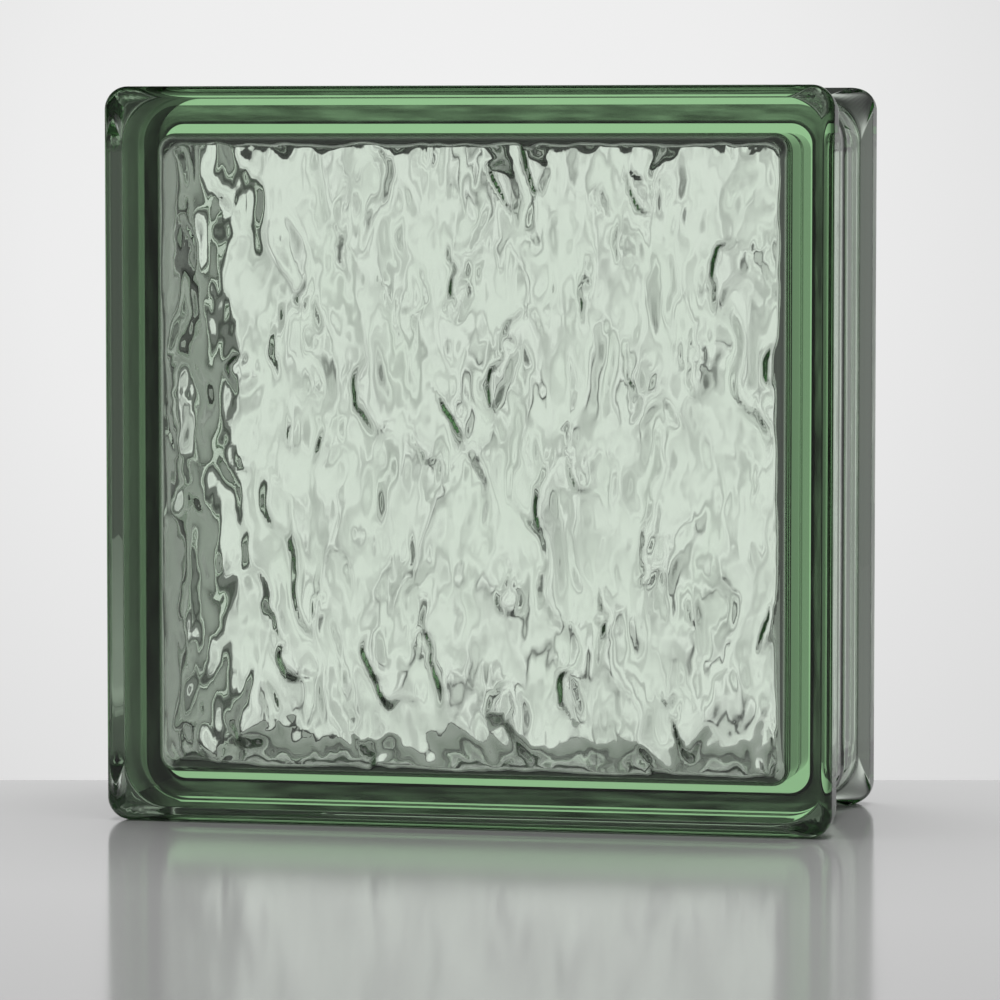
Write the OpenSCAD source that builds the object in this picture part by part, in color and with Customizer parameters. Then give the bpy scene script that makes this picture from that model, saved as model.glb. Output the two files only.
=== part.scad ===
// Hollow glass block for walls and partitions.
// Two pressed glass shells are fused hot at mid depth into one piece of glass, so the block is one
// solid with a sealed hollow. Flanges behind both faces leave a mortar channel round all four edges,
// the fused seam stands up as a low bead in that channel, and flowing waves are pressed into the
// inner side of both faces.
// Millimetres. The block stands on its lower edge: X is its width, Z its height, and the front face
// looks towards -Y. The origin is the centre of the footprint.

/* [Block] */
// Width across the faces
block_w = 190; // [140:1:300]
// Height of the faces
block_h = 190; // [140:1:300]
// Depth from face to face
block_d = 80; // [66:1:110]
// Corner radius of the faces, seen from the front
corner_r = 6; // [5:0.5:8]
// Rounding between a face and the edge of its flange
edge_r = 3; // [1:0.5:3.5]

/* [Mortar channel] */
// Thickness of the flange behind each face
flange_t = 10; // [9.5:0.5:14]
// Depth of the channel between the flanges
channel_depth = 2.85; // [2.4:0.05:3.3]
// Corner radius of the channel's floor, seen from the front
channel_corner_r = 12; // [9:0.5:14]
// Slope of the channel's shoulders from its floor
shoulder_slope = 36; // [36:1:60]
// Fillet at the foot of the channel's shoulders
shoulder_fillet_r = 2; // [1:0.1:3]
// Height of the fused seam above the channel's floor
seam_h = 0.4; // [0.2:0.1:0.8]
// Width of the fused seam
seam_w = 8; // [5:0.5:12]

/* [Hollow] */
// Mean thickness of the glass in each face
face_t = 8; // [6:0.5:12]
// Thickness of the side walls next to the faces
wall_t = 9.2; // [7:0.2:12]
// Draft of the side walls, which thin towards the seam
wall_draft = 0.25; // [0:0.25:3]
// Radius of the hollow's rounding between a face and the side walls
hollow_fillet_r = 14; // [8:0.5:18]
// Slope at which that rounding leaves the patterned window
fillet_start = 47; // [35:1:60]
// Corner radius of the hollow, seen from the front
window_corner_r = 4.5; // [3:0.5:10]

/* [Pressed waves] */
// Height of the waves from valley to crest
wave_h = 2.4; // [0.6:0.1:3]
// Distance from one upright wave to the next
wave_pitch = 12.5; // [10:0.5:24]
// Slope of the waves from the upright
wave_lean = 8; // [0:1:20]
// How far a wave sways to each side
sway = 4; // [0:0.5:8]
// Height of one sway
sway_pitch = 93; // [60:1:160]
// Width over which the sways step up by one
sway_run = 83; // [50:1:160]
// How far the shorter flutter takes a wave to each side
flutter = 2.2; // [0:0.1:4]
// Height of one flutter
flutter_pitch = 34.5; // [24:0.5:60]
// Width over which the flutters step up by one
flutter_run = 31; // [20:0.5:60]
// How far the waves' details drift up and down
drift = 5; // [0:0.5:8]
// Height over which the drifts step across by one
drift_pitch = 113; // [60:1:160]
// Width of one drift
drift_run = 29; // [20:0.5:60]
// Distance from one broader wave to the next
broad_pitch = 27.3; // [18:0.1:60]
// Height over which the broader waves step across by one
broad_rise = 87; // [50:1:160]
// Height of one swelling
swell_pitch = 50; // [30:0.5:80]
// Width over which the swellings step up by one
swell_run = 41; // [20:1:120]
// Height over which the upright waves gain and lose height once
surge_pitch = 76; // [40:1:120]
// Width over which they do so once
surge_run = 37; // [20:1:80]

/* [Hidden] */

$fn = 64;
overrun = 1;

// Corner axes of the rim and of the channel
axis_x = block_w / 2 - corner_r;
axis_y = block_h / 2 - corner_r;
channel_axis_x = block_w / 2 - channel_depth - channel_corner_r;
channel_axis_y = block_h / 2 - channel_depth - channel_corner_r;

// Half width of the channel at its mouth and at its floor, and the cut's reach past a round corner
channel_half = block_d / 2 - flange_t;
floor_half = channel_half - channel_depth / tan(shoulder_slope);
cut_reach = sqrt(2) * (channel_corner_r + channel_depth) - (sqrt(2) - 1) * corner_r
    - channel_corner_r + overrun;
seam_r = (pow(seam_w / 2, 2) + pow(seam_h, 2)) / (2 * seam_h);

// The rounding between a face and the side walls: its start past the mean face, its width and its end
rise_share = 0.42;
fillet_rise = rise_share * wave_h;
fillet_w = hollow_fillet_r * (1 - sin(fillet_start));
hollow_z = block_d / 2 - face_t;
wall_z = hollow_z + fillet_rise - hollow_fillet_r * cos(fillet_start);
draft_offset = tan(wall_draft) * (wall_z - seam_w / 2);

// Half sizes of the window, and the corner axes of the hollow
window_x = block_w / 2 - channel_depth - wall_t - fillet_w;
window_y = block_h / 2 - channel_depth - wall_t - fillet_w;
inner = [window_x - window_corner_r, window_y - window_corner_r];

// Shares of the wave's height in the upright waves, the broader waves and the swellings, and the
// least and the added share of the upright waves where they surge
ripple_share = 0.4;
broad_share = 0.2;
swell_share = 0.2;
calm_share = 0.6;
surge_share = 0.4;

// Grid of the relief: largest cell sizes, cells round a corner, and steps round a fillet
cell_x = 3.5;
cell_y = 6.5;
corner_cells = 2;
fillet_steps = 4;

// Section of the rim without its channel: a bar with its two outer edges rounded
module rim_section() {
    translate([0, -block_d / 2]) square([corner_r - edge_r, block_d]);
    translate([0, edge_r - block_d / 2]) square([corner_r, block_d - 2 * edge_r]);
    for (side = [-1, 1])
        translate([corner_r - edge_r, side * (block_d / 2 - edge_r)]) circle(edge_r);
}

// Section of the channel's cut, from its floor outwards (x) and from face to face (y)
module channel_section() {
    run = shoulder_fillet_r * tan(shoulder_slope / 2);
    foot = [run * sin(shoulder_slope), floor_half + run * cos(shoulder_slope)];
    mouth = [cut_reach, floor_half + cut_reach / tan(shoulder_slope)];
    difference() {
        union() {
            polygon([[0, run - floor_half], [foot.x, -foot.y], [mouth.x, -mouth.y],
                     mouth, foot, [0, floor_half - run]]);
            for (side = [-1, 1])
                translate([shoulder_fillet_r, side * (floor_half - run)]) circle(shoulder_fillet_r);
        }
        translate([seam_h - seam_r, 0]) circle(seam_r);
    }
}

// The rim, swept round four sides and four corners of a core, lying on its back
module blank() {
    cube([2 * axis_x, 2 * axis_y, block_d], center = true);
    sweep(axis_x, axis_y, 0) rim_section();
}

// The channel, swept round the block with the larger corners of its floor
module channel() {
    sweep(channel_axis_x, channel_axis_y, channel_corner_r) channel_section();
}

// A section swept round the block at a distance outside its corner axes
module sweep(corner_x, corner_y, distance) {
    for (turn = [0:3]) {
        reach = turn % 2 == 0 ? corner_x : corner_y;
        run = turn % 2 == 0 ? 2 * corner_y : 2 * corner_x;
        rotate(90 * turn) translate([reach + distance, 0, 0]) rotate([90, 0, 0])
            linear_extrude(run, center = true) children();
    }
    for (corner = [[1, 1, 0], [-1, 1, 90], [-1, -1, 180], [1, -1, 270]])
        translate([corner.x * corner_x, corner.y * corner_y, 0]) rotate(corner.z)
            rotate_extrude(angle = 90) translate([distance, 0]) children();
}

// Height of the pressed waves at a place on a face: upright waves that sway, flutter and surge on the
// way up, over broader waves and swellings
function wave(x, y) =
    let (sway_x = sway * sin(360 * (y / sway_pitch + x / sway_run)))
    let (flutter_x = flutter * sin(360 * (y / flutter_pitch - x / flutter_run)))
    let (across = x + y * tan(wave_lean) + sway_x + flutter_x)
    let (up = y + drift * sin(360 * (x / drift_run + y / drift_pitch)))
    let (surge = calm_share + surge_share * sin(360 * (up / surge_pitch + x / surge_run)))
    let (ripple = surge * sin(360 * across / wave_pitch))
    let (broad = sin(360 * (across / broad_pitch + up / broad_rise)))
    let (swell = sin(360 * (up / swell_pitch - across / swell_run)))
    wave_h / 2 * (ripple_share * ripple + broad_share * broad + swell_share * swell);

// Both shells come from one mould. The back one is turned about the upright to face the front one,
// so its waves run the other way across.
function facing(shell) = shell == 0 ? 1 : -1;
function relief(at, shell) = wave(facing(shell) * at.x, at.y);

// Stations across a window: small cells round the corners and even cells between them
function stations(half, cell) =
    let (run = half - window_corner_r)
    let (cells = ceil(2 * run / cell))
    let (edge = [for (i = [0:corner_cells - 1]) run + window_corner_r * (1 - i / corner_cells)])
    concat(-1 * edge, [for (i = [0:cells]) run * (2 * i / cells - 1)],
           [for (i = [corner_cells - 1:-1:0]) edge[i]]);

columns = stations(window_x, cell_x);
rows = stations(window_y, cell_y);
nx = len(columns) - 1;
ny = len(rows) - 1;

// A grid place moved so that the window's corners are round
function rounded(x, y) =
    let (past = [abs(x) - inner.x, abs(y) - inner.y])
    past.x <= 0 || past.y <= 0 ? [x, y] :
        let (reach = max(past.x, past.y) / norm(past) * past)
        [sign(x) * (inner.x + reach.x), sign(y) * (inner.y + reach.y)];

// Grid places round the window's edge, anticlockwise
rim_places = concat(
    [for (i = [0:nx - 1]) [i, 0]],
    [for (j = [0:ny - 1]) [nx, j]],
    [for (i = [nx:-1:1]) [i, ny]],
    [for (j = [ny:-1:1]) [0, j]]);
rim_count = len(rim_places);

// The window's edge moved outwards at one place, with the same corner radius at every distance
function moved(place, distance) =
    let (at = rounded(columns[place.x], rows[place.y]))
    let (centre = [max(-inner.x, min(inner.x, at.x)), max(-inner.y, min(inner.y, at.y))])
    let (out = (at - centre) / norm(at - centre))
    [centre.x * (1 + distance / inner.x), centre.y * (1 + distance / inner.y)] + window_corner_r * out;

// One loop round the hollow at a distance outside the window and a depth, cut off by the wavy face
function loop_points(distance, depth, shell) = [
    for (place = rim_places)
        let (at = moved(place, distance))
        [at.x, at.y, facing(shell) * min(depth, hollow_z + relief(at, shell))]
];

// The loops of one shell from the end of its fillet's first step to the foot of the seam
function shell_loops(shell) = concat(
    [for (k = [1:fillet_steps])
        let (angle = fillet_start + (90 - fillet_start) * k / fillet_steps)
        loop_points(hollow_fillet_r * (sin(angle) - sin(fillet_start)),
                    wall_z + hollow_fillet_r * cos(angle), shell)],
    [loop_points(fillet_w + draft_offset, seam_w / 2, shell)]);

// The wavy face of one shell, as a grid of points
function face_points(shell) = [
    for (j = [0:ny], i = [0:nx])
        let (at = rounded(columns[i], rows[j]))
        [at.x, at.y, facing(shell) * (hollow_z + relief(at, shell))]
];

function flat_list(lists) = [for (list = lists) for (item = list) item];
function reversed(list) = [for (i = [len(list) - 1:-1:0]) list[i]];

// Two triangles for each cell of a grid whose first point has the given number
function face_triangles(first, flip) = flat_list([
    for (j = [0:ny - 1], i = [0:nx - 1])
        let (a = first + j * (nx + 1) + i)
        let (b = a + nx + 1)
        flip ? [[a, b, a + 1], [a + 1, b, b + 1]] : [[a, a + 1, b], [a + 1, b + 1, b]]
]);

// Two triangles for each step along the strip between two loops of point numbers
function strip_triangles(upper, lower) = flat_list([
    for (k = [0:rim_count - 1])
        let (next = (k + 1) % rim_count)
        [[upper[k], lower[k], lower[next]], [upper[k], lower[next], upper[next]]]
]);

// The sealed hollow, lying on its back: two wavy faces, their fillets and the drafted walls between
module hollow() {
    face_size = (nx + 1) * (ny + 1);
    seam_loop = loop_points(fillet_w + draft_offset - seam_h, 0, 0);
    loops = concat(shell_loops(0), [seam_loop], reversed(shell_loops(1)));
    points = concat(face_points(0), face_points(1), flat_list(loops));
    front_rim = [for (place = rim_places) place.y * (nx + 1) + place.x];
    back_rim = [for (number = front_rim) number + face_size];
    wall_loops = [for (k = [0:len(loops) - 1])
        [for (i = [0:rim_count - 1]) 2 * face_size + k * rim_count + i]];
    bands = concat([front_rim], wall_loops, [back_rim]);
    walls = flat_list([for (k = [0:len(bands) - 2]) strip_triangles(bands[k], bands[k + 1])]);
    faces = concat(face_triangles(0, false), face_triangles(face_size, true), walls);
    polyhedron(points, [for (face = faces) reversed(face)]);
}

// The block, stood on its lower edge
module glass_block() {
    color([0.62, 0.76, 0.66, 0.6])
        translate([0, 0, block_h / 2]) rotate([90, 0, 0]) difference() {
            blank();
            channel();
            hollow();
        }
}

glass_block();
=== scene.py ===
import math

import bpy
import numpy as np
from mathutils import Matrix, Vector, noise


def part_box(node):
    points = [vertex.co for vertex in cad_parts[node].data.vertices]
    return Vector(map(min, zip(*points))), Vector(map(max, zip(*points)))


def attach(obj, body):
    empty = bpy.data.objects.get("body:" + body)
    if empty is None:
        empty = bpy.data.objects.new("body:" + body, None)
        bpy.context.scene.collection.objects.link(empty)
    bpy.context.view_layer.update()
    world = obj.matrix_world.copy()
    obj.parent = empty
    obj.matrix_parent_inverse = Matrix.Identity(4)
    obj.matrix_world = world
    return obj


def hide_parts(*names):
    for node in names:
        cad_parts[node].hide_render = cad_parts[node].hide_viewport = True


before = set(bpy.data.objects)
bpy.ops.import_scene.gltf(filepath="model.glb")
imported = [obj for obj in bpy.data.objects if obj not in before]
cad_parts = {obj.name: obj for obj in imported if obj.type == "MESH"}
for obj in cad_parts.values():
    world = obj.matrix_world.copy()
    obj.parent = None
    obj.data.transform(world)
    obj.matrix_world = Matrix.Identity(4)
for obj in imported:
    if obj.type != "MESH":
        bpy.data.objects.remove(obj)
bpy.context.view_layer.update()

# Units: the block is worked out in millimetres and made in metres
MM = 0.001
TAU = 2 * math.pi
QUARTER = math.pi / 2
TINY = 1e-9

# The block's box, from the frame
NODE = "glass_block"
box_low, box_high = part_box(NODE)
BLOCK_W, BLOCK_D, BLOCK_H = [(b - a) / MM for a, b in zip(box_low, box_high)]

# Signs of x and z at the four corners, anticlockwise from the upper right one
CORNERS = [(1, 1), (-1, 1), (-1, -1), (1, -1)]

# Rim section
CORNER_R = 6.0
EDGE_R = 3.0
FLANGE_T = 10.0
CHANNEL_DEPTH = 2.85
CHANNEL_CORNER_R = 12.0
SHOULDER_SLOPE = math.radians(36)
SHOULDER_FILLET_R = 2.0
SHOULDER_LIP_R = 1.0
SEAM_H = 0.4
SEAM_W = 8.0

# Hollow
FACE_T = 8.0
WALL_T = 9.2
WALL_DRAFT = math.radians(0.25)
FILLET_R = 14.0
FILLET_START = math.radians(47)
FILLET_RISE_SHARE = 0.336
WINDOW_CORNER_R = 4.5

# Weld inside the walls: insets from the left, right, lower and upper edge, corner radii and thickness
WELD_OUT = (3.9, 3.9, 3.6, 4.7)
WELD_IN = (9.3, 9.3, 8.4, 9.6)
WELD_OUT_R = 9.5
WELD_IN_R = 5.5
WELD_T = 0.2

# Pressed waves: their height, pitch and lean, and the reach, pitch and run of what bends them
WAVE_H = 3.0
WAVE_PITCH = 12.5
WAVE_LEAN = math.radians(8)
SWAY, SWAY_PITCH, SWAY_RUN = 4.0, 93.0, 83.0
FLUTTER, FLUTTER_PITCH, FLUTTER_RUN = 2.2, 34.5, 31.0
SHIVER, SHIVER_PITCH, SHIVER_RUN = 0.9, 17.0, 17.0
DRIFT, DRIFT_PITCH, DRIFT_RUN = 5.0, 113.0, 29.0
WANDER, WANDER_PITCH, WANDER_RUN = 3.0, 71.0, 13.4
SURGE_PITCH, SURGE_RUN = 76.0, 37.0
CALM_SHARE, SURGE_SHARE = 0.6, 0.4

# Broad waves and swells under them
BROAD_PITCH, BROAD_RISE = 27.3, 87.0
SWELL_PITCH, SWELL_RUN = 50.0, 41.0

# Irregular grain, which also warps the waves
WARP, WARP_W, WARP_H = 4.0, 24.0, 45.0
GRAIN_W, GRAIN_H = 9.0, 22.0
WARP_OCTAVES, GRAIN_OCTAVES = 2, 4
GRAIN_FALL, GRAIN_STEP, GRAIN_LAYER = 0.9, 2.0, 0.5

# Short steep folds, torn by the grain
FOLD_PITCH, FOLD_RISE = 14.5, 40.0
FOLD_SWAY_SHARE, FOLD_SWAY_PITCH = 0.2, 66.0
FOLD_STEP_SHARE, FOLD_ROUGH_SHARE, STEEP_SHARE = 0.618, 0.12, 0.09
FOLD_GAIN, FOLD_REST = 1.5, 0.3
TORN_GAIN, TORN_SHARE = 2.5, 0.5

# Shares of half the waves' height
RIPPLE_SHARE, BROAD_SHARE, SWELL_SHARE, GRAIN_SHARE = 0.28, 0.15, 0.15, 0.45
FOLD_SHARE, FOLD_LEVEL_SHARE = 1.0, 0.2

# Mesh fineness
ARC_STEPS = 10
CORNER_STEPS = 16
CELL = 0.92
CORNER_CELLS = 5
FILLET_STEPS = 12
WALL_END = 1.5
SEAM_STEPS = 6

# Satin finish of the channel's floor on the left and the top: it ends half way round a corner
SATIN = "satin"
SATIN_ROUGHNESS = 0.4
SATIN_START = CORNER_STEPS // 2
SATIN_END = SATIN_START + 2 * (CORNER_STEPS + 1)

# Clear glass with a green tint that grows with the length of the light's way through it
GLASS_COLOUR = (1, 1, 1, 1)
GLASS_IOR = 1.52
GLASS_TINT = (0.35, 0.725, 0.31, 1)
GLASS_DENSITY = 20.0

# Look of the weld, whose dark colour is partly the fused seam and partly painted shade of the frame:
# streaks along it, a clearer stretch near the top that is painted light falling from above, and a dark
# inner edge
WELD_SHADE_COLOUR = (0.03, 0.04, 0.02, 1)
STREAK_SCALE = (40, 2.2, 1)
STREAK_DETAIL = 3.0
STREAK_RANGE, STREAK_SHARES = (0.35, 0.65), (-0.12, 0.12)
LIT_TOP_RANGE, LIT_TOP_SHARES = (165 * MM, 180 * MM), (0.68, 0.5)
INNER_EDGE_RANGE, INNER_EDGE_SHARES = (0.8, 0.9), (0.0, 0.3)

# Stage, in metres: the floor ends just behind the block and lies square to the camera
CAMERA_YAW = math.radians(12.169)
CAMERA_PITCH = math.radians(3.791)
CAMERA_PLACE = (0.29113, -1.34451, 0.17319)
SENSOR_W = 36
FOCAL_PX = 5257
IMAGE_PX = 1000
FLOOR_HALF = 0.9
FLOOR_BACK = 0.068
FLOOR_COLOUR = (0.8, 0.8, 0.8, 1)
FLOOR_ROUGHNESS = 0.12
LAMP_PLACE = (0, 0.2, 1.4)
LAMP_SIZE = 1.2
LAMP_ENERGY = 15

# Brightness of the studio: the backdrop at angles from its middle, the share of it that is left at angles
# from straight up, and the room behind the camera at angles from its middle, all in degrees
BACKDROP_AXIS = (-0.225, 0.974, -0.01)
BACKDROP_STEPS = [(0, 0.88), (4, 0.85), (7, 0.76), (9, 0.7), (12, 0.63), (17, 0.55), (21, 0.45), (24, 0.3),
                  (28, 0.18), (45, 0.15), (50, 0.07), (75, 0.08), (180, 0.1)]
UPRIGHT_AXIS = (0, 0, 1)
HEIGHT_STEPS = [(0, 0.3), (66, 0.3), (76, 1), (104, 1), (114, 0.3), (180, 0.3)]
ROOM_AXIS = (0, -1, 0)
ROOM_STEPS = [(0, 0.22), (50, 0.18), (75, 0)]

# Light crosses many surfaces inside the glass
GLASS_BOUNCES = 32
GLOSSY_BOUNCES = 16


def add_object(name, data):
    """A new object in the scene."""
    item = bpy.data.objects.new(name, data)
    bpy.context.scene.collection.objects.link(item)
    return item


# Outer surface

def arc(centre, radius, start, end, steps):
    """Points on an arc in the plane of the section."""
    angles = np.radians(np.linspace(start, end, steps + 1))
    return np.array(centre) + radius * np.column_stack([np.cos(angles), np.sin(angles)])


def rim_profile():
    """The rim's section from the front face to the seam: insets from the block's edge and depths.

    The shoulder starts where the land's rounded edge ends and ends at the foot of its fillet.
    """
    slope = math.degrees(SHOULDER_SLOPE)
    land_end = FLANGE_T - BLOCK_D / 2
    lip_start = land_end - SHOULDER_LIP_R * math.tan(SHOULDER_SLOPE / 2)
    slope_end = land_end + CHANNEL_DEPTH / math.tan(SHOULDER_SLOPE)
    foot = slope_end + SHOULDER_FILLET_R * math.tan(SHOULDER_SLOPE / 2)
    edge = arc((-EDGE_R, EDGE_R - BLOCK_D / 2), EDGE_R, -90, 0, ARC_STEPS)
    lip = arc((-SHOULDER_LIP_R, lip_start), SHOULDER_LIP_R, 0, slope, ARC_STEPS)
    fillet_centre = (SHOULDER_FILLET_R - CHANNEL_DEPTH, foot)
    fillet = arc(fillet_centre, SHOULDER_FILLET_R, slope - 180, -180, ARC_STEPS)
    y = np.linspace(-SEAM_W / 2, 0, SEAM_STEPS + 1)
    bead = np.column_stack([SEAM_H / 2 * (1 + np.cos(TAU * y / SEAM_W)) - CHANNEL_DEPTH, y])
    points = np.vstack([edge, lip, fillet, bead])
    shoulder = slice(len(edge), len(edge) + len(lip) + len(fillet))
    return -points[:, 0], points[:, 1], shoulder


def outer_rings(inset, depth, shoulder):
    """Sections from the front face to the back one, in turn round the block."""
    foot = depth[shoulder][-1]
    growth = (CHANNEL_CORNER_R - CORNER_R) / CHANNEL_DEPTH
    radius = CHANNEL_CORNER_R + CHANNEL_DEPTH - inset
    radius[:shoulder.start] = CORNER_R - inset[:shoulder.start]
    radius[shoulder] = CORNER_R + growth * inset[shoulder]
    rings = []
    for turn, (sx, sz) in enumerate(CORNERS):
        for angle in np.linspace(0, QUARTER, CORNER_STEPS + 1):
            heading = angle + turn * QUARTER
            x = sx * (BLOCK_W / 2 - inset - radius) + radius * math.cos(heading)
            z = sz * (BLOCK_H / 2 - inset - radius) + radius * math.sin(heading) + BLOCK_H / 2
            diagonal = math.cos(angle) + math.sin(angle)
            stretch = diagonal + growth * (diagonal - 1)
            y = depth.copy()
            y[shoulder] = foot + stretch * (depth[shoulder] - foot)
            half = np.column_stack([x, y, z])
            rings.append(np.vstack([half, half[-2::-1] * np.array([1, -1, 1])]))
    return np.array(rings)


def outer_surface():
    """Vertices, normals and faces of the outside of the block, and the roughness of the faces round it."""
    inset, depth, shoulder = rim_profile()
    rings = outer_rings(inset, depth, shoulder)
    round_block = np.roll(rings, -1, axis=0) - np.roll(rings, 1, axis=0)
    through = np.gradient(rings, axis=1)
    normals = np.cross(round_block, through)
    normals /= np.linalg.norm(normals, axis=-1, keepdims=True)
    normals *= np.sign((normals * (rings - rings.mean(axis=(0, 1)))).sum())
    normals[:, 0] = (0, -1, 0)
    normals[:, -1] = (0, 1, 0)
    count, steps = rings.shape[:2]
    number = np.arange(count * steps).reshape(count, steps)
    following = np.roll(number, -1, axis=0)
    faces = np.stack([number[:, :-1], number[:, 1:], following[:, 1:], following[:, :-1]], axis=-1)
    faces = faces.reshape(-1, 4).tolist()
    ring, step = np.divmod(np.arange(len(faces)), steps - 1)
    on_floor = (step >= shoulder.stop - 1) & (step < steps - shoulder.stop)
    left_or_top = (ring >= SATIN_START) & (ring < SATIN_END)
    roughness = np.where(on_floor & left_or_top, SATIN_ROUGHNESS, 0.0)
    faces.append(number[:, 0].tolist())
    faces.append(number[::-1, -1].tolist())
    return rings.reshape(-1, 3), normals.reshape(-1, 3), faces, roughness


# Sealed hollow

def grain(x, z, width, height, octaves):
    """Irregular relief, drawn out upright."""
    heights = []
    for across, up in zip(np.ravel(x) / width, np.ravel(z) / height):
        heights.append(noise.fractal((across, up, GRAIN_LAYER), GRAIN_FALL, GRAIN_STEP, octaves))
    return np.array(heights).reshape(np.shape(x))


def torn_fold(swayed, up, rough):
    """Short folds with one steep side, in rows that start at different heights and torn by the grain."""
    place = swayed / FOLD_PITCH + FOLD_SWAY_SHARE * np.sin(TAU * up / FOLD_SWAY_PITCH)
    place = place + FOLD_ROUGH_SHARE * rough
    number = np.floor(place)
    share = place - number
    fold = np.minimum((1 - share) / (1 - STEEP_SHARE), share / STEEP_SHARE)
    fold *= np.clip(FOLD_GAIN * np.sin(TAU * (up / FOLD_RISE + FOLD_STEP_SHARE * number)) - FOLD_REST, 0, 1)
    return fold * np.clip(TORN_SHARE + TORN_GAIN * rough, 0, 1)


def wave(x, z):
    """Height of the waves at a place on a face: swaying upright waves, swells, grain and torn folds."""
    swayed = x + z * math.tan(WAVE_LEAN) + SWAY * np.sin(TAU * (z / SWAY_PITCH + x / SWAY_RUN))
    across = (swayed + WARP * grain(x, z, WARP_W, WARP_H, WARP_OCTAVES)
              + FLUTTER * np.sin(TAU * (z / FLUTTER_PITCH - x / FLUTTER_RUN))
              + SHIVER * np.sin(TAU * (z / SHIVER_PITCH + x / SHIVER_RUN)))
    up = (z + DRIFT * np.sin(TAU * (x / DRIFT_RUN + z / DRIFT_PITCH))
          + WANDER * np.sin(TAU * (x / WANDER_RUN - z / WANDER_PITCH)))
    surge = CALM_SHARE + SURGE_SHARE * np.sin(TAU * (up / SURGE_PITCH + x / SURGE_RUN))
    ripple = surge * np.sin(TAU * across / WAVE_PITCH)
    broad = np.sin(TAU * (across / BROAD_PITCH + up / BROAD_RISE))
    swell = np.sin(TAU * (up / SWELL_PITCH - across / SWELL_RUN))
    rough = grain(x, z, GRAIN_W, GRAIN_H, GRAIN_OCTAVES)
    total = RIPPLE_SHARE * ripple + BROAD_SHARE * broad + SWELL_SHARE * swell + GRAIN_SHARE * rough
    return WAVE_H / 2 * (total + FOLD_SHARE * torn_fold(swayed, up, rough) - FOLD_LEVEL_SHARE)


def stations(half):
    """Places across a window: small cells round the corners and even cells between them."""
    inner = half - WINDOW_CORNER_R
    cells = math.ceil(2 * inner / CELL)
    edge = inner + WINDOW_CORNER_R * np.arange(1, CORNER_CELLS + 1) / CORNER_CELLS
    return np.concatenate([-edge[::-1], np.linspace(-inner, inner, cells + 1), edge])


def window_grid(window, inner):
    """Places over a window, with its corners rounded."""
    grid = np.stack(np.meshgrid(stations(window[0]), stations(window[1])), axis=-1)
    past = np.maximum(np.abs(grid) - inner, 0)
    reach = np.linalg.norm(past, axis=-1, keepdims=True)
    longest = past.max(axis=-1, keepdims=True)
    corner = (past > 0).all(axis=-1, keepdims=True)
    moved = np.sign(grid) * (np.minimum(np.abs(grid), inner) + past * longest / np.maximum(reach, TINY))
    return np.where(corner, moved, grid)


def hollow_surface():
    """Vertices and faces of the sealed hollow, with the faces turned to the air inside."""
    wall_x = BLOCK_W / 2 - CHANNEL_DEPTH - WALL_T
    wall_z = BLOCK_H / 2 - CHANNEL_DEPTH - WALL_T
    fillet_w = FILLET_R * (1 - math.sin(FILLET_START))
    window = np.array([wall_x - fillet_w, wall_z - fillet_w])
    inner = window - WINDOW_CORNER_R
    hollow_y = BLOCK_D / 2 - FACE_T
    wall_top = hollow_y + FILLET_RISE_SHARE * WAVE_H - FILLET_R * math.cos(FILLET_START)

    grid = window_grid(window, inner)
    rows, columns = grid.shape[:2]
    number = np.arange(columns * rows).reshape(rows, columns)
    rim = np.concatenate([number[0, :-1], number[:-1, -1], number[-1, :0:-1], number[:0:-1, 0]])
    count = len(rim)
    rim_places = grid.reshape(-1, 2)[rim]
    outward = np.sign(rim_places) * np.maximum(np.abs(rim_places) - inner, 0)
    outward /= np.linalg.norm(outward, axis=1)[:, None]
    centres = np.clip(rim_places, -inner, inner)

    def loop(outset):
        """The window's edge moved outwards, with the same corner radius at every distance."""
        return centres * (1 + outset / inner) + WINDOW_CORNER_R * outward

    def shell(facing):
        """The wavy face of one shell and the loops from its fillet to the seam."""
        face = hollow_y + wave(facing * grid[..., 0], grid[..., 1])
        loops = []
        for angle in np.linspace(FILLET_START, QUARTER, FILLET_STEPS + 1)[1:]:
            at = loop(FILLET_R * (math.sin(angle) - math.sin(FILLET_START)))
            fillet = wall_top + FILLET_R * math.cos(angle)
            loops.append((at, np.minimum(fillet, hollow_y + wave(facing * at[:, 0], at[:, 1]))))
        for y in (wall_top - WALL_END, SEAM_W / 2 + WALL_END, SEAM_W / 2):
            at = loop(fillet_w + math.tan(WALL_DRAFT) * (wall_top - y))
            loops.append((at, np.full(count, y)))
        for y in np.linspace(SEAM_W / 2, 0, SEAM_STEPS + 1)[1:]:
            outset = fillet_w + math.tan(WALL_DRAFT) * (wall_top - y)
            outset -= SEAM_H / 2 * (1 + math.cos(TAU * y / SEAM_W))
            loops.append((loop(outset), np.full(count, y)))
        points = [np.column_stack([grid[..., 0].ravel(), -facing * face.ravel(), grid[..., 1].ravel()])]
        points += [np.column_stack([at[:, 0], -facing * depth, at[:, 1]]) for at, depth in loops]
        return points

    def cells(first, flip):
        """The faces of one wavy face, whose vertices start at a number."""
        a, b = first + number[:-1, :-1], first + number[:-1, 1:]
        c, d = first + number[1:, 1:], first + number[1:, :-1]
        order = [a, d, c, b] if flip else [a, b, c, d]
        return np.stack(order, axis=-1).reshape(-1, 4).tolist()

    front, back = shell(1), shell(-1)
    parts = front + back[1:-1][::-1] + [back[0]]
    starts = np.cumsum([0] + [len(part) for part in parts[:-1]])
    vertices = np.vstack(parts) + np.array([0, 0, BLOCK_H / 2])
    bands = [starts[0] + rim]
    bands += [start + np.arange(count) for start in starts[1:-1]]
    bands.append(starts[-1] + rim)
    faces = cells(starts[0], True) + cells(starts[-1], False)
    for upper, lower in zip(bands[:-1], bands[1:]):
        faces += np.stack([upper, np.roll(upper, -1), np.roll(lower, -1), lower], axis=-1).tolist()
    return vertices, faces


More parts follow.
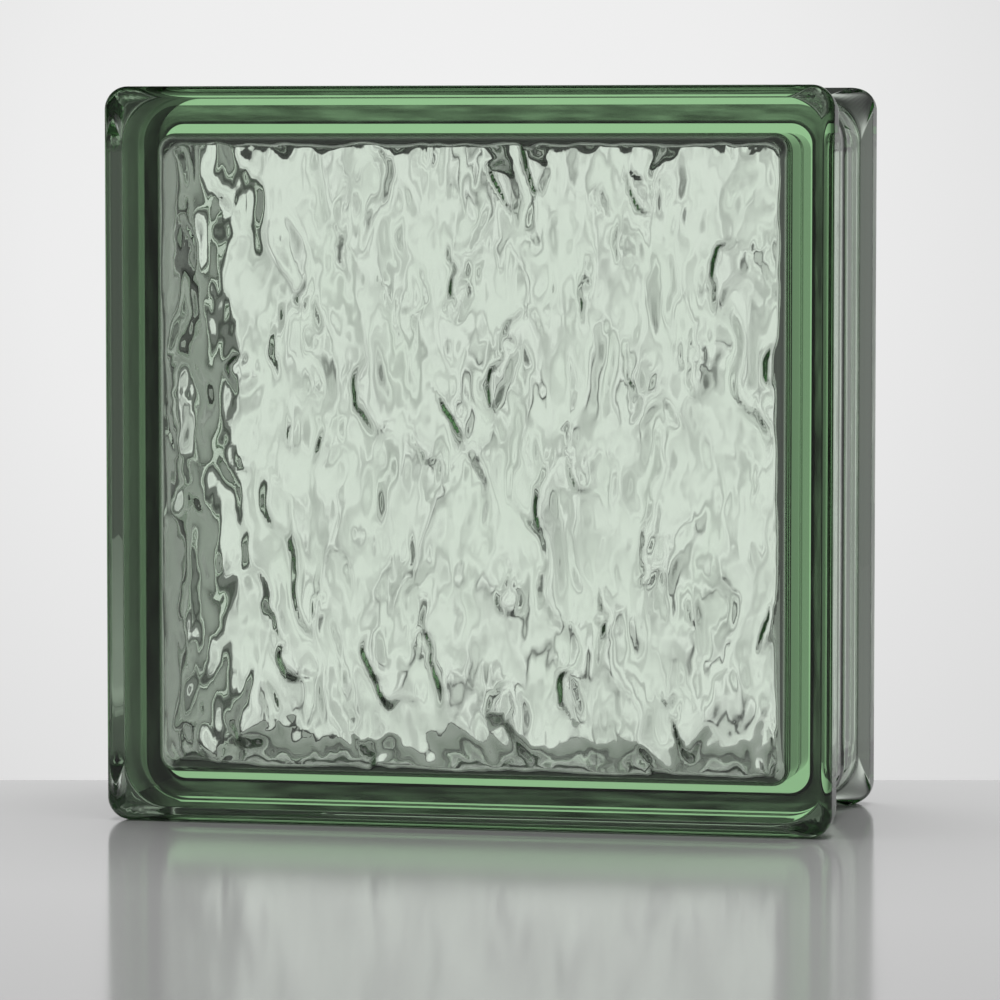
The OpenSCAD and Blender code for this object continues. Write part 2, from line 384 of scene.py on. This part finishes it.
def make_block(material):
    """One closed mesh: the outside of the block and the wall of its sealed hollow."""
    outer, outer_normals, outer_faces, roughness = outer_surface()
    inner, inner_faces = hollow_surface()
    shift = len(outer)
    faces = outer_faces + [[shift + index for index in face] for face in inner_faces]
    mesh = bpy.data.meshes.new("glass_block_body")
    mesh.from_pydata((np.vstack([outer, inner]) * MM).tolist(), [], faces)
    mesh.update()
    mesh.shade_smooth()
    normals = np.array([vertex.normal for vertex in mesh.vertices])
    normals[:shift] = outer_normals
    mesh.normals_split_custom_set_from_vertices(normals.tolist())
    finish = mesh.attributes.new(SATIN, "FLOAT", "FACE")
    smooth = np.zeros(len(faces) - len(roughness))
    finish.data.foreach_set("value", np.concatenate([roughness, smooth]))
    mesh.materials.append(material)
    return add_object("glass_block_body", mesh)


# Weld, whose dark sheet also paints shade into the frame

def ring_loop(insets, radius, depth):
    """A loop round the block with rounded corners: insets from its left, right, lower and upper edge."""
    left, right, low, high = insets
    corner_insets = [(right, high), (left, high), (left, low), (right, low)]
    points = []
    for turn, ((sx, sz), (x, z)) in enumerate(zip(CORNERS, corner_insets)):
        for angle in np.linspace(0, QUARTER, CORNER_STEPS + 1) + turn * QUARTER:
            points.append((sx * (BLOCK_W / 2 - x - radius) + radius * math.cos(angle), depth,
                           sz * (BLOCK_H / 2 - z - radius) + radius * math.sin(angle) + BLOCK_H / 2))
    return points


def make_weld_and_shade(material):
    """The thin line of the weld inside the walls, where the two shells were fused, with a dark material
    that also paints shade into the frame.

    Its map runs along the weld from 0 to 1, and across it from 0 at the outer edge to 1 at the inner one.
    """
    half = WELD_T / 2
    loops = [ring_loop(WELD_OUT, WELD_OUT_R, -half), ring_loop(WELD_OUT, WELD_OUT_R, half),
             ring_loop(WELD_IN, WELD_IN_R, half), ring_loop(WELD_IN, WELD_IN_R, -half)]
    across = [0.0, 0.0, 1.0, 1.0]
    sides, count = len(loops), len(loops[0])
    number = np.arange(sides * count).reshape(sides, count)
    faces = []
    for side in range(sides):
        a, b = number[side], number[(side + 1) % sides]
        faces += np.stack([a, np.roll(a, -1), np.roll(b, -1), b], axis=-1).tolist()
    mesh = bpy.data.meshes.new("glass_block_weld_and_shade")
    mesh.from_pydata((np.vstack(loops) * MM).tolist(), [], faces)
    mesh.update()
    outer_loop = np.array(loops[0])
    steps = np.linalg.norm(np.roll(outer_loop, -1, axis=0) - outer_loop, axis=1)
    along = np.concatenate([[0], np.cumsum(steps)]) / steps.sum()
    layer = mesh.uv_layers.new(name="along_weld")
    for polygon in mesh.polygons:
        side, i = divmod(polygon.index, count)
        here, there = across[side], across[(side + 1) % sides]
        places = [(along[i], here), (along[i + 1], here), (along[i + 1], there), (along[i], there)]
        for loop_index, place in zip(polygon.loop_indices, places):
            layer.data[loop_index].uv = place
    mesh.materials.append(material)
    return add_object("glass_block_weld_and_shade", mesh)


# Materials

def new_material(name):
    """A new material and its node tree."""
    material = bpy.data.materials.new(name)
    material.use_nodes = True
    return material, material.node_tree


def map_range(tree, value, source, target):
    """A value moved from one range to another."""
    node = tree.nodes.new("ShaderNodeMapRange")
    for label, limit in zip(("From Min", "From Max", "To Min", "To Max"), source + target):
        node.inputs[label].default_value = limit
    tree.links.new(value, node.inputs["Value"])
    return node.outputs["Result"]


def add_values(tree, first, second, clamp=False):
    """The sum of two values."""
    node = tree.nodes.new("ShaderNodeMath")
    node.use_clamp = clamp
    tree.links.new(first, node.inputs[0])
    tree.links.new(second, node.inputs[1])
    return node.outputs["Value"]


def part_of(tree, vector, axis):
    """One axis of a vector."""
    node = tree.nodes.new("ShaderNodeSeparateXYZ")
    tree.links.new(vector, node.inputs["Vector"])
    return node.outputs[axis]


def weld_and_shade_material():
    """Dull streaks along the weld, dark at its inner edge and clearer in the top wall: the dark sheet is
    partly the fused seam and partly painted shade, and the clearer top is painted light from above.
    """
    material, tree = new_material("weld_line_and_painted_shade")
    shader = tree.nodes["Principled BSDF"]
    # Near-black colour: partly the fused seam, partly painted shade of the glass frame
    shader.inputs["Base Color"].default_value = WELD_SHADE_COLOUR
    shader.inputs["Roughness"].default_value = 1.0
    shader.inputs["Specular IOR Level"].default_value = 0.0
    weld_map = tree.nodes.new("ShaderNodeUVMap").outputs["UV"]
    position = tree.nodes.new("ShaderNodeNewGeometry").outputs["Position"]
    stretch = tree.nodes.new("ShaderNodeVectorMath")
    stretch.operation = "MULTIPLY"
    stretch.inputs[1].default_value = STREAK_SCALE
    tree.links.new(weld_map, stretch.inputs[0])
    streaks = tree.nodes.new("ShaderNodeTexNoise")
    streaks.inputs["Scale"].default_value = 1.0
    streaks.inputs["Detail"].default_value = STREAK_DETAIL
    tree.links.new(stretch.outputs["Vector"], streaks.inputs["Vector"])
    streak = map_range(tree, streaks.outputs["Fac"], STREAK_RANGE, STREAK_SHARES)
    # Painted light: the weld is made clearer near the top, where light falls on it from above
    lit_top = map_range(tree, part_of(tree, position, "Z"), LIT_TOP_RANGE, LIT_TOP_SHARES)
    edge = map_range(tree, part_of(tree, weld_map, "Y"), INNER_EDGE_RANGE, INNER_EDGE_SHARES)
    alpha = add_values(tree, add_values(tree, lit_top, streak), edge, clamp=True)
    tree.links.new(alpha, shader.inputs["Alpha"])
    return material


def glass_material():
    """Clear glass with a green tint, and satin where the mesh says so."""
    material, tree = new_material("pressed_glass")
    shader = tree.nodes["Principled BSDF"]
    shader.inputs["Base Color"].default_value = GLASS_COLOUR
    shader.inputs["IOR"].default_value = GLASS_IOR
    shader.inputs["Transmission Weight"].default_value = 1.0
    finish = tree.nodes.new("ShaderNodeAttribute")
    finish.attribute_name = SATIN
    tree.links.new(finish.outputs["Fac"], shader.inputs["Roughness"])
    absorption = tree.nodes.new("ShaderNodeVolumeAbsorption")
    absorption.inputs["Color"].default_value = GLASS_TINT
    absorption.inputs["Density"].default_value = GLASS_DENSITY
    tree.links.new(absorption.outputs["Volume"], tree.nodes["Material Output"].inputs["Volume"])
    return material


def floor_material():
    """Plain pale floor with a soft sheen."""
    material, tree = new_material("pale_floor")
    shader = tree.nodes["Principled BSDF"]
    shader.inputs["Base Color"].default_value = FLOOR_COLOUR
    shader.inputs["Roughness"].default_value = FLOOR_ROUGHNESS
    return material


# Stage

def make_floor():
    """The floor that the block stands on."""
    mesh = bpy.data.meshes.new("floor")
    corners = [(-FLOOR_HALF, -FLOOR_HALF, 0), (FLOOR_HALF, -FLOOR_HALF, 0), (FLOOR_HALF, FLOOR_BACK, 0),
               (-FLOOR_HALF, FLOOR_BACK, 0)]
    mesh.from_pydata(corners, [], [(0, 1, 2, 3)])
    mesh.materials.append(floor_material())
    floor = add_object("floor", mesh)
    floor.matrix_world = Matrix.Rotation(CAMERA_YAW, 4, "Z")


def light_ramp(tree, axis, steps):
    """Brightness that changes with the angle from an axis."""
    nodes, links = tree.nodes, tree.links
    coordinate = nodes.new("ShaderNodeTexCoord")
    dot = nodes.new("ShaderNodeVectorMath")
    dot.operation = "DOT_PRODUCT"
    dot.inputs[1].default_value = Vector(axis).normalized()
    links.new(coordinate.outputs["Generated"], dot.inputs[0])
    angle = nodes.new("ShaderNodeMath")
    angle.operation = "ARCCOSINE"
    links.new(dot.outputs["Value"], angle.inputs[0])
    turn = nodes.new("ShaderNodeMath")
    turn.operation = "DIVIDE"
    turn.inputs[1].default_value = math.pi
    links.new(angle.outputs["Value"], turn.inputs[0])
    ramp = nodes.new("ShaderNodeValToRGB")
    ramp.color_ramp.interpolation = "LINEAR"
    stops = ramp.color_ramp.elements
    while len(stops) < len(steps):
        stops.new(0.5)
    for stop, (degrees, light) in zip(stops, steps):
        stop.position = degrees / 180
        stop.color = (light, light, light, 1)
    links.new(turn.outputs["Value"], ramp.inputs["Fac"])
    return ramp.outputs["Color"]


def make_world():
    """The studio's backdrop, and the room behind the camera."""
    world = bpy.data.worlds.new("studio")
    bpy.context.scene.world = world
    world.use_nodes = True
    tree = world.node_tree
    kept = tree.nodes.new("ShaderNodeVectorMath")
    kept.operation = "MULTIPLY"
    tree.links.new(light_ramp(tree, BACKDROP_AXIS, BACKDROP_STEPS), kept.inputs[0])
    tree.links.new(light_ramp(tree, UPRIGHT_AXIS, HEIGHT_STEPS), kept.inputs[1])
    total = tree.nodes.new("ShaderNodeVectorMath")
    tree.links.new(kept.outputs["Vector"], total.inputs[0])
    tree.links.new(light_ramp(tree, ROOM_AXIS, ROOM_STEPS), total.inputs[1])
    tree.links.new(total.outputs["Vector"], tree.nodes["Background"].inputs["Color"])


def make_lights():
    """A wide lamp above the floor, which the glass doesn't mirror."""
    data = bpy.data.lights.new("top_light", "AREA")
    data.shape = "RECTANGLE"
    data.size = LAMP_SIZE
    data.size_y = LAMP_SIZE
    data.energy = LAMP_ENERGY
    light = add_object("top_light", data)
    light.matrix_world = Matrix.Translation(LAMP_PLACE)
    light.visible_glossy = False
    light.visible_transmission = False


def make_camera():
    """The camera at the photograph's viewing angle."""
    data = bpy.data.cameras.new("camera")
    data.sensor_width = SENSOR_W
    data.lens = FOCAL_PX / IMAGE_PX * SENSOR_W
    camera = add_object("camera", data)
    turn = Matrix.Rotation(CAMERA_YAW, 4, "Z") @ Matrix.Rotation(QUARTER - CAMERA_PITCH, 4, "X")
    camera.matrix_world = Matrix.Translation(CAMERA_PLACE) @ turn
    bpy.context.scene.camera = camera


make_camera()
make_world()
make_floor()
make_lights()
block = make_block(glass_material())
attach(block, "root")
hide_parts(NODE)
weld_and_shade = make_weld_and_shade(weld_and_shade_material())
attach(weld_and_shade, "root")

bpy.context.scene.view_settings.view_transform = "Standard"
cycles = bpy.context.scene.cycles
cycles.max_bounces = GLASS_BOUNCES
cycles.transmission_bounces = GLASS_BOUNCES
cycles.glossy_bounces = GLOSSY_BOUNCES
cycles.transparent_max_bounces = GLASS_BOUNCES
